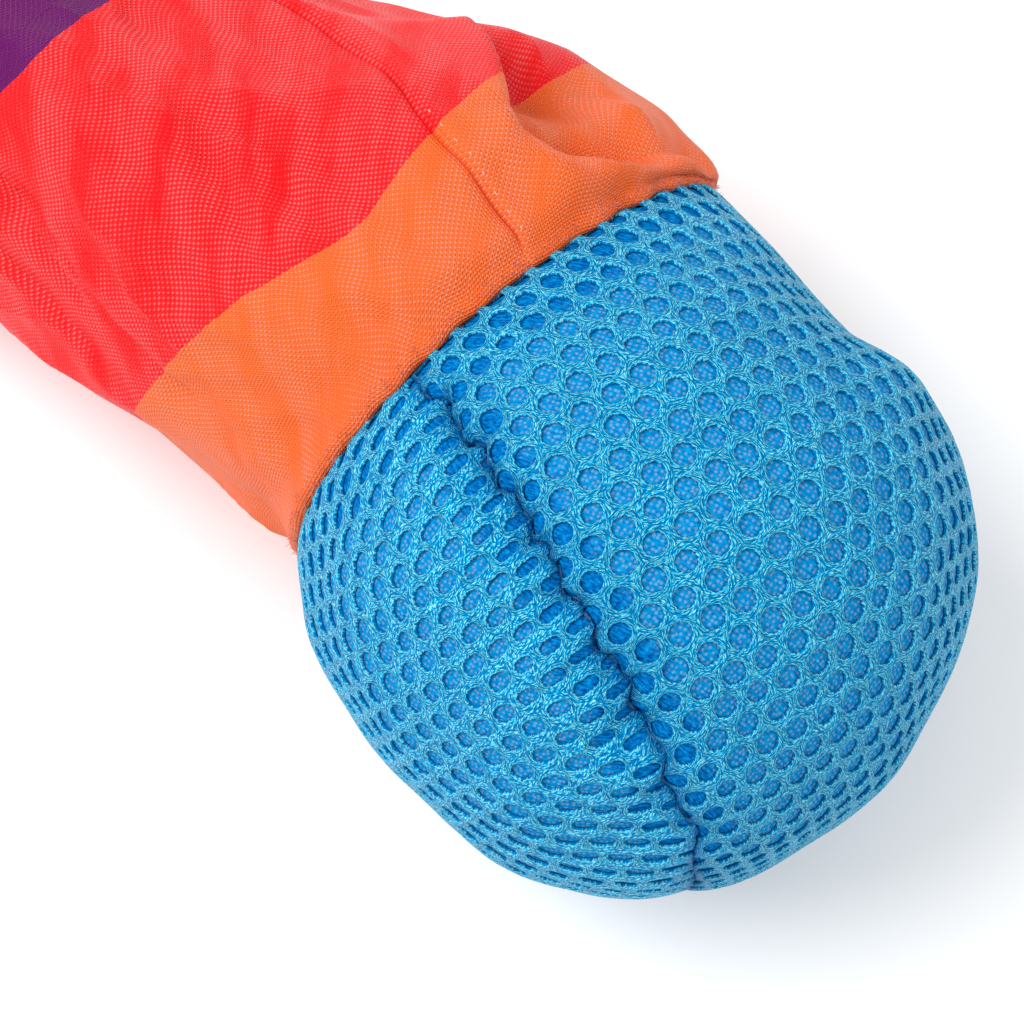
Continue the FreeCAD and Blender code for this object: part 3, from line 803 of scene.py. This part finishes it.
def make_backing(name, side, lay):
    """The panel's back layer under the holes, turned in at the seam and the neck."""
    facing, along, across = lay
    rows, columns = 120, 190
    # rings round the Y axis, from the panel's own side to a little past the seam
    reach = math.acos(side * SEAM_Y / 54.0) + 0.25
    angle, turn = grid(np.linspace(0.0, reach, rows), np.linspace(-math.pi, math.pi, columns))
    ways = np.stack([np.sin(angle) * np.cos(turn), side * np.cos(angle), np.sin(angle) * np.sin(turn)], 1)
    plain = on_ray(ways)
    points, from_seam, from_neck = head_surface(ways, side, np.full(len(ways), -WALL))
    points += HEAD_CENTRE
    lie = np.arccos(np.clip(ways @ facing, -1, 1))
    scale = PANEL_RADIUS * lie / np.maximum(np.sin(lie), 1e-6)
    flat = np.stack([(ways @ along) * scale, (ways @ across) * scale], 1)
    faces = grid_faces(rows, columns)
    past_seam, past_neck = BACKING_PAST
    near_neck = (neck_depth(plain)[faces] > -past_neck).any(1)
    near_seam = (side * off_seam(plain)[faces] > -past_seam).any(1)
    faces = faces[near_neck & near_seam]
    # beside the seam and at the neck the white filling is hidden, and the knit gets painted shade
    opened_unshaded = smooth((from_seam - 5.0) / 3.0) * smooth((from_neck - 8.0) / 4.0)
    used, renumbered = np.unique(faces, return_inverse=True)
    values = {"open_unshaded": opened_unshaded[used]}
    return make_mesh(name, points[used], renumbered.reshape(faces.shape), flat[faces.ravel()], values)


def make_filling():
    """The lumpy outside of the fibre in the mesh, up to the disc at the neck."""
    rows, columns = 70, 100
    from_tip = np.linspace(0.02, math.pi - 0.02, rows)
    angle, turn = grid(from_tip, np.linspace(0, TURN, columns, endpoint=False))
    ways = np.stack([np.cos(angle), np.sin(angle) * np.sin(turn), np.sin(angle) * np.cos(turn)], 1)
    points = on_ray(ways)
    ahead = neck_depth(points) - DISC_AHEAD
    behind = ahead < 0
    facing = points[behind] @ NECK_FACING
    points[behind] *= ((facing - ahead[behind]) / facing)[:, None]
    # it lies under the back layer, and deeper beside the seam
    under = WALL + 1.8 + 2.5 * np.exp(-np.abs(off_seam(points)) / 5.0)
    points = sink(points, 0.5 * ripple(points, 9.0, 31) - under) + HEAD_CENTRE
    filling = make_mesh("fibre_filling", points, capped_faces(rows, columns))
    fit(filling, fibre_paint(), "head", "head_filling")


def stitches(line, long, gap, radius, rise=0.35):
    """Short rods of thread along a line of closely spaced points, each bowed up by rise."""
    far = along_line(line)
    parts = []
    start = 0.0
    while start + long < far[-1]:
        at = start + long * np.linspace(0, 1, 6)
        path = np.stack([np.interp(at, far, line[:, i]) for i in range(3)], 1)
        path[:, 2] += np.sin(np.linspace(0, math.pi, 6)) * rise
        parts.append(tube(path, radius * np.array([0.6, 1, 1, 1, 1, 0.6])))
        start += long + gap
    return join_parts(parts)


def make_head_threads():
    blue = thread_paint("blue_thread", (0.01, 0.10, 0.30))
    turn = np.linspace(-2.2, 2.3, 500)
    line = sink(on_seam(turn, 0.6), 0.0)
    line = line[neck_depth(line) > 0.5] + HEAD_CENTRE
    thread = make_mesh("head_seam_stitches", *stitches(line, long=2.2, gap=0.7, radius=0.32))
    fit(thread, blue, "head", "head_seam_thread")
    around = np.linspace(0, TURN, 300)
    ring = np.stack([np.full_like(around, NECK_PLACE[0]), np.sin(around) * 40, np.cos(around) * 40], 1)
    ring = settle(to_neck(ring, 1.6)) + HEAD_CENTRE
    rods = stitches(ring, long=2.6, gap=0.8, radius=0.3, rise=0.0)
    thread = make_mesh("neck_stitches", *rods)
    fit(thread, blue, "head", "neck_seam_thread")


def make_head():
    yarn, knit = yarn_paint(), backing_paint()
    for label, facts in PANELS.items():
        panel = make_panel(f"mesh_{label}", **facts)
        fit(panel, yarn, "head", f"head_panel_{label}")
        backing = make_backing(f"backing_{label}", facts["side"], facts["lay"])
        fit(backing, knit, "head", None)
    make_filling()
    make_head_threads()
    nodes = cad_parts
    plastic_paint("bladder_plastic", (0.86, 0.86, 0.82), 0.3).give(nodes["squeaker_bladder"])
    plastic_paint("reed_plastic", (0.90, 0.90, 0.87), 0.45).give(nodes["squeaker_reed"])
    lining_paint().give(nodes["neck_closure_disc"])


# ---- the sleeve ----

# distance along the sleeve, left half width, right half width, top, underside
SLEEVE_RINGS = np.array([
    (0, 43.0, 39.0, 87.0, 5.0),
    (4, 42.0, 46.0, 87.5, 3.0),
    (12, 41.0, 51.0, 87.0, 1.0),
    (23, 38.8, 53.6, 85.5, 0.3),
    (36, 38.0, 53.2, 82.0, 0.2),
    (52, 38.2, 47.8, 77.0, 0.2),
    (70, 37.0, 43.0, 71.5, 0.2),
    (110, 35.5, 38.5, 58.0, 0.2),
    (186, 33.0, 33.0, 38.0, 0.2),
    (256, 29.0, 29.0, 31.0, 0.2),
    (326, 25.0, 25.0, 25.0, 0.2),
    (380, 20.0, 20.0, 17.0, 0.2),
    (416, 17.5, 17.5, 8.0, 0.3),
    (432, 17.0, 17.0, 5.0, 1.0),
    (442, 17.0, 17.0, 4.6, 1.8),
])
# the sleeve's line on the floor: each stretch's length and its turn from -X towards -Y
SLEEVE_PATH = ((45.0, 24.0), (141.0, 20.0), (140.0, 8.0), (106.0, 0.0))
SLEEVE_START = np.array([-38.0, 0.0])
# name of a stretch, its start and end, the bodies ahead and behind, and where it bends
STRETCHES = (
    ("front", 0.0, 91.0, "head", "tail_front", (15.0, 75.0)),
    ("middle", 91.0, 274.0, "tail_front", "tail_middle", (156.0, 216.0)),
    ("rear", 274.0, 441.0, "tail_middle", "tail_rear", (301.0, 351.0)),
)
# the seam's turn from the top towards +Y, at places along the sleeve
SEAM_AT = (0, 15, 28, 45, 68, 150, 442)
SEAM_TURNS = (7, 12, 16, 26, 38, 22, 19)
# how far the print runs ahead, at turns from the top towards +Y
LEAD_AT = (-180, -76, -50, -35, -20, -6, 10, 27, 66, 180)
LEADS = (-4, -6, 1, 5, 10, 12, 8, 4, 1, -4)
# how deep the hem starts under the mesh, and over what length it comes up
HEM_SUNK = 1.8
HEM_RISE = 2.0
# folds: start and end (place along the sleeve, way round from its top), height, and how far
# the cloth takes to fall away on each side
CREASES = (
    ((22, 23), (44, 44), 5.0, 12.0, 1.3),
    ((22, 23), (8, 19), 1.2, 4.0, 6.0),
    ((19, 25), (11, 32), -3.2, 4.0, 1.8),
    ((11, 32), (7, 56), -3.8, 3.5, 1.5),
    ((5, 30), (4.5, 66), 2.1, 2.5, 2.5),
    ((7, 40), (3.5, 49), -0.9, 0.8, 1.4),
    ((68, -38), (30, -60), -3.2, 1.6, 8.0),
    ((82, -34), (56, -50), -2.8, 1.0, 6.0),
    ((76, -52), (50, -64), -2.4, 5.0, 1.0),
    ((56, -30), (34, -46), 2.4, 6.0, 1.2),
    ((70, -6), (46, -2), 1.9, 1.2, 7.0),
    ((50, -4), (32, -22), -2.1, 1.2, 6.0),
    ((84, -8), (46, -30), 1.8, 9.0, 4.0),
    ((80, 12), (50, -6), -1.4, 5.0, 2.0),
    ((24, -58), (5, -72), -1.3, 2.0, 6.0),
    ((24, -28), (5, -36), -0.8, 5.0, 2.0),
    ((40, -72), (22, -80), 1.2, 3.0, 3.0),
)


def curve_through(places, values, at):
    """A smooth curve through values at given places (Catmull-Rom)."""
    places, values = np.asarray(places, float), np.asarray(values, float)
    slopes = np.gradient(values, places)
    i = np.clip(np.searchsorted(places, at, side="right") - 1, 0, len(places) - 2)
    gap = places[i + 1] - places[i]
    x = np.clip((at - places[i]) / gap, 0, 1)
    return (
        values[i] * (1 + 2 * x) * (1 - x) ** 2
        + slopes[i] * gap * x * (1 - x) ** 2
        + values[i + 1] * x * x * (3 - 2 * x)
        + slopes[i + 1] * gap * x * x * (x - 1)
    )


def path_tables(step=1.0):
    """Places and headings along the sleeve, with its corners rounded."""
    longs, turns = zip(*SLEEVE_PATH)
    s = np.arange(0, sum(longs) + step, step)
    corners = np.cumsum(longs)[:-1]
    heading = np.full(len(s), turns[0])
    for corner, before, after in zip(corners, turns, turns[1:]):
        heading = heading + (after - before) * smooth((s - corner + 25) / 50)
    angle = np.radians(heading)
    run = np.stack([-np.cos(angle), -np.sin(angle)], 1)
    places = SLEEVE_START + np.concatenate([[[0, 0]], np.cumsum((run[1:] + run[:-1]) / 2 * step, 0)])
    return s, places, angle


PATH_S, PATH_PLACES, PATH_ANGLES = path_tables()


def on_path(s):
    return np.interp(s, PATH_S, PATH_PLACES[:, 0]), np.interp(s, PATH_S, PATH_PLACES[:, 1])


def crease(s, t, start, end, high, near_wide, far_wide):
    """A fold along a line in the sleeve's own (s, t): high on it, falling off at two rates."""
    start, end = np.asarray(start, float), np.asarray(end, float)
    run = end - start
    long = np.linalg.norm(run)
    run = run / long
    ds, dt = s - start[0], t - start[1]
    along = ds * run[0] + dt * run[1]
    off = ds * run[1] - dt * run[0]
    past = np.maximum(np.clip(-along, 0, None), np.clip(along - long, 0, None))
    wide = np.where(off > 0, near_wide, far_wide)
    reach = np.sqrt(off**2 + 0.6) - 0.75
    return high * np.exp(-np.clip(reach, 0, None) / wide) * np.exp(-((past / 7.0) ** 2))


def seam_angle(s):
    """Where the sleeve's upper seam runs round it, from the top towards +Y."""
    return np.radians(curve_through(SEAM_AT, SEAM_TURNS, s))


def folds(s, arc):
    """How far the cloth stands out at its folds; arc is the way round from its top."""
    right_of_ridge = ((s - 22) * 0.69 - (arc - 23) * 0.72) * -1.0
    pocket = np.exp(-(((s - 27) / 10) ** 2) - ((arc - 45) / 13) ** 2) * smooth(right_of_ridge / 3.0)
    high = sum(crease(s, arc, *line) for line in CREASES)
    gathers = 0.55 * ripple(np.stack([arc, 0.25 * s], 1), 8.5, 41) * np.exp(-s / 11)
    return high - 8.5 * pocket + gathers


def hem_edge(place, s):
    """Where the sleeve's first few millimetres lie: tucked in at the neck, then round over it."""
    edge = to_neck(place - HEAD_CENTRE, 0.0)
    outward = unit(edge * np.array([0.0, 1.0, 1.0]))
    edge = settle(edge)
    turn = np.clip(s / HEM_RISE, 0, 1) * math.pi / 2
    rise = 0.5 - (HEM_SUNK + 0.5) * (1 - np.sin(turn))
    around = np.arctan2(edge[:, 1], edge[:, 2]) * 42
    uneven = ripple(np.stack([around, 0 * around], 1), 9.0, 43)
    rise = rise + 0.2 * uneven * np.sin(turn)
    ahead = 0.2 + (0.5 + 0.3 * uneven) * np.sin(2 * turn) - 0.8 * s * smooth(s / HEM_RISE)
    return edge + outward * rise[:, None] + NECK_FACING * ahead[:, None] + HEAD_CENTRE


def sleeve_points(s, around, slack=1.0):
    """Points of the sleeve; around is the angle from its top towards +Y. With slack 0 the cloth is
    drawn smooth, without folds or seam."""
    x, y = on_path(s)
    heading = np.interp(s, PATH_S, PATH_ANGLES)
    # the rings start parallel to the neck and end square to the sleeve's line
    square = smooth((s - 60) / 130)
    ring_turn = NECK_TURN * (1 - square) + heading * square
    at, *rings = SLEEVE_RINGS.T
    left, right, high, low = (curve_through(at, ring, s) for ring in rings)
    sine, cosine = np.sin(around), np.cos(around)
    half = np.where(sine < 0, left, right)
    tall = (high - low) / 2
    outward = unit(np.stack([sine / half, cosine / tall], 1))
    upper = smooth((cosine + 0.25) / 0.5)
    free = smooth((s - 1) / 8) * smooth((425 - s) / 20)
    # the seam is a thin dent, with the lapped side standing higher beside it
    off = around - seam_angle(s)
    beside_seam = np.abs((off + math.pi) % TURN - math.pi) * (half + tall) / 2
    lapped = np.where(np.sin(off) > 0, 0.55, 0.1)
    seam = lapped * np.exp(-((beside_seam - 1.5) ** 2) / 1.3) - 1.3 * np.exp(-beside_seam / 0.5)
    spread = np.stack([s * 0.6, half * sine, tall * cosine], 1)
    # soft lumps, broad sharp crumples and small sharp ones
    crumple = 0.6 * ripple(spread, 26.0, 21) + 2.7 * (0.45 - np.abs(ripple(spread, 38.0, 24)))
    crumple += 1.1 * (0.45 - np.abs(ripple(spread, 15.0, 22)))
    push = (folds(s, around * 50) * upper + crumple) * free + seam * smooth((442 - s) / 12)
    push *= slack
    across = np.stack([-np.sin(ring_turn), np.cos(ring_turn)], 1)
    place = np.stack([x, y, (high + low) / 2 + tall * cosine + push * outward[:, 1]], 1)
    place[:, :2] += across * (half * sine + push * outward[:, 0])[:, None]
    height = place[:, 2]
    place[:, 2] = np.where(height < 6, (height + np.sqrt(height**2 + 1.0)) / 2, height)
    # the right corner leans out over the mesh, and the first few millimetres follow the neck
    corner = 5.2 * np.exp(-(((around - 1.2) / 0.54) ** 2) - ((s - 4.5) / 5.6) ** 2)
    place += NECK_FACING * corner[:, None]
    near = s < 12
    held = (1 - smooth((s[near] - HEM_RISE * 0.7) / 3.5))[:, None]
    place[near] = place[near] * (1 - held) + hem_edge(place[near], s[near]) * held
    return place


def printed(s, around):
    """Where the print's stripes lie along the cloth, as it is gathered unevenly at the neck."""
    degrees = np.degrees((around + math.pi) % TURN - math.pi)
    return s + curve_through(LEAD_AT, LEADS, degrees) * np.exp(-s / 70)


def running(points, axis):
    """Running length along one axis of a grid of points."""
    steps = np.cumsum(np.linalg.norm(np.diff(points, axis=axis), axis=2), axis)
    return np.concatenate([np.zeros_like(steps[:, :1] if axis else steps[:1]), steps], axis)


def make_sleeve_piece(name, side, start, end):
    """One panel of one stretch of the sleeve, from the upper seam round to the lower one, and its
    mean and greatest width."""
    fine = 0.9 if start == 0 else 1.7
    along = np.linspace(start, end, int((end - start) / fine) + 1)
    if start == 0:
        along = np.concatenate([np.linspace(0, 3, 12), np.linspace(3.4, end, len(along))])
    # the columns are close together beside the seam
    beside = np.array([0.0, 0.003, 0.006, 0.0095, 0.014])
    shares = np.concatenate([beside, np.linspace(0.021, 1.0, int(120 / fine))])
    shape = (len(along), len(shares), 3)
    s, share = grid(along, shares)
    around = seam_angle(s) + side * math.pi * share
    points = sleeve_points(s, around)
    width = running(points.reshape(shape), 1)[:, -1]
    faces = grid_faces(*shape[:2])
    # the weave is laid out on the smooth cloth, so that its rows run straight through the folds
    laid = sleeve_points(s, around, 0.0).reshape(shape)
    uv = np.stack([side * running(laid, 1).ravel(), start + running(laid, 0).ravel()], 1)
    obj = make_mesh(name, points, faces, uv[faces.ravel()], {"stripe": printed(s, around)})
    return obj, width.mean(), width.max()


def make_hem_fibres(count=900):
    """Loose ends of the sleeve's yarn along the neck."""
    rng = np.random.default_rng(8)
    around = rng.uniform(-math.pi, math.pi, count)
    start = sleeve_points(rng.uniform(1.0, 2.2, count), around)
    ways = unit(0.8 * NECK_FACING + 0.8 * unit(start - HEAD_CENTRE) + 0.7 * rng.normal(size=(count, 3)))
    parts = []
    for place, way, long in zip(start, ways, rng.uniform(0.4, 1.3, count)):
        bend = rng.normal(size=3) * 0.25
        path = [place + way * long * t + bend * t * t * long for t in (0.0, 0.4, 0.7, 1.0)]
        parts.append(tube(np.array(path), np.array([0.05, 0.045, 0.04, 0.02]), 3))
    fibres = make_mesh("hem_fibres", *join_parts(parts))
    fit(fibres, thread_paint("hem_yarn", (0.95, 0.30, 0.22)), "head", None)


def make_sleeve():
    cloth = sleeve_paint()
    thread = thread_paint("sleeve_thread", (0.95, 0.45, 0.32))
    make_hem_fibres()
    for label, start, end, ahead, behind, bend in STRETCHES:
        for side_name, side in (("left", -1), ("right", 1)):
            piece, wide, widest = make_sleeve_piece(f"{label}_cloth_{side_name}", side, start, end)
            cloth.give(piece)
            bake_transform(piece)
            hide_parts(f"sleeve_{label}_{side_name}")
        # the thread lies beside the seam, and is drawn into the cloth for a part of its length
        s = np.arange(max(start, 4.0), min(end, 430.0), 0.5)
        line = sleeve_points(s, seam_angle(s) + 0.021)
        line[:, 2] -= 0.45 * smooth((s - 26) / 8) * smooth((84 - s) / 8)
        rods = stitches(line, long=0.8, gap=2.7, radius=0.13, rise=0.12)
        sewn = make_mesh(f"{label}_stitches", *rods)
        thread.give(sewn)
        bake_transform(sewn)
        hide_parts(f"{label}_seam_thread")


# ---- the tail end ----


def strap(name, line, middle, wide, thick, fine=0.8):
    """Flat woven strap along a line of (x, z) points, with round edges; middle is its y."""
    line = np.asarray(line, float)
    far = along_line(line)
    at = np.linspace(0, far[-1], int(far[-1] / fine) + 2)
    x, z = np.interp(at, far, line[:, 0]), np.interp(at, far, line[:, 1])
    run = unit(np.stack([np.gradient(x), np.gradient(z)], 1))
    turn = np.linspace(0, TURN, 64, endpoint=False)
    # its section is flat across the middle and round at the edges
    edge = wide / 2 - thick / 2
    across = np.clip(1.35 * np.cos(turn), -1, 1) * edge
    round_edge = np.clip(np.abs(np.cos(turn)) - 0.74, 0, None) / 0.26
    across += np.sign(np.cos(turn)) * round_edge * thick / 2
    up_down = np.sign(np.sin(turn)) * np.sqrt(np.clip(1 - round_edge**2, 0, 1)) * thick / 2
    # it has fine ribs across it, and its edges waver a little
    points = []
    for i in range(len(at)):
        rib = 1 + 0.07 * math.cos(at[i] * TURN / 1.6)
        lift = up_down * rib * 0.97
        side = middle + across * (1 + 0.004 * math.sin(at[i] * TURN / 2.4))
        points.append(np.stack([x[i] - run[i, 1] * lift, side, z[i] + run[i, 0] * lift], 1))
    faces = capped_faces(len(at), len(turn), turned=True)
    values = np.stack([np.tile(across, len(at)), np.repeat(at, len(turn))], 1)
    uv = np.concatenate([values[list(f)] for f in faces])
    return make_mesh(name, np.concatenate(points), faces, uv)


def node_box(name):
    """The two corners of a CAD node's box in millimetres."""
    return [np.array(corner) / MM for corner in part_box(name)]


def make_tape(middle, paint):
    """The tape goes round the tail's end: along the top, down and back underneath."""
    thick, bend = 1.0, 2.2
    (start, side, _), (end, _, top) = node_box("tail_end_binding")
    high, low = top - thick / 2, thick / 2
    line = [(end, high)]
    for a in np.linspace(math.pi / 2, 3 * math.pi / 2, 15):
        x = start + bend + bend * math.cos(a)
        line.append((x, (high + low) / 2 + (high - low) / 2 * math.sin(a)))
    line.append((end, low))
    tape = strap("folded_tape", line, middle, 2 * (middle - side), thick)
    fit(tape, paint, "tail_rear", "tail_end_binding")


# how far from its hinge the loop's two runs part
RUNS_PART = 9.0


def make_webbing(middle, wide, paint):
    """The webbing's ends in the tape, then its loop: out along the floor, round, and back."""
    (start, _, low), (end, _, high) = node_box("loop_strap_root")
    line = [(start, (low + high) / 2), (end, (low + high) / 2)]
    ends = strap("strap_ends", line, middle, wide, high - low)
    fit(ends, paint, "tail_rear", "loop_strap_root")
    (far_end, _, _), (hinge, _, loop_top) = node_box("pull_loop")
    thick = (high - low) / 2
    radius = (loop_top - thick) / 2
    round_x, round_z = far_end + loop_top / 2, loop_top / 2
    over, under = high - thick / 2, low + thick / 2
    part = hinge - RUNS_PART
    line = [(hinge, under), (part, under)]
    for a in np.linspace(0.1, 0.9, 9):
        z = under + (round_z - radius - under) * smooth(a)
        line.append((part - a * (part - round_x), z))
    for a in np.linspace(0, math.pi, 40):
        line.append((round_x - radius * math.sin(a), round_z - radius * math.cos(a)))
    for a in np.linspace(0.1, 0.9, 15):
        z = round_z + radius + (over - round_z - radius) * smooth(a)
        line.append((round_x + a * (part - round_x), z))
    line += [(part, over), (hinge, over)]
    loop = strap("strap_loop", line, middle, wide, thick)
    fit(loop, paint, "tail_loop", "pull_loop")


def make_tail_threads(middle, thread, count=44):
    """Zigzag bars that hold the webbing, and a row of stitches along the tape's edge."""
    (start, near, low), (end, far, _) = node_box("loop_bar_tacks")
    inset, half_bar, thread_radius = 1.2, 1.0, 0.24
    bars = []
    for x in (start + inset, end - inset):
        bar = []
        for i in range(count + 1):
            zigzag = half_bar if i % 2 else -half_bar
            bar.append((x + zigzag, near + (far - near) * i / count, low + 0.15))
        bars.append(tube(bar, thread_radius))
    tacks = make_mesh("tack_stitches", *join_parts(bars))
    fit(tacks, thread, "tail_rear", "loop_bar_tacks")
    (_, side, _), (edge, _, top) = node_box("tail_end_binding")
    across = np.linspace(side + 1, 2 * middle - side - 1, 80)
    line = np.stack([np.full(80, edge - 1.6), across, np.full(80, top + 0.02)], 1)
    row = make_mesh("tape_stitches", *stitches(line, long=2.0, gap=0.9, radius=0.2, rise=0.1))
    fit(row, thread, "tail_rear", None)


def make_tail_end():
    (_, near, _), (_, far, _) = node_box("pull_loop")
    middle, wide = (near + far) / 2, far - near
    web = webbing_paint("webbing", (0.020, 0.045, 0.16), (0.10, 0.16, 0.36))
    tape = webbing_paint("binding_tape", (0.012, 0.030, 0.11), (0.07, 0.11, 0.26))
    tack = thread_paint("tack_thread", (0.80, 0.78, 0.74))
    make_tape(middle, tape)
    make_webbing(middle, wide, web)
    make_tail_threads(middle, tack)


# ---- the whole ----

right, up, toward = make_camera()
make_stage(right, up, toward)
make_head()
make_sleeve()
make_tail_end()
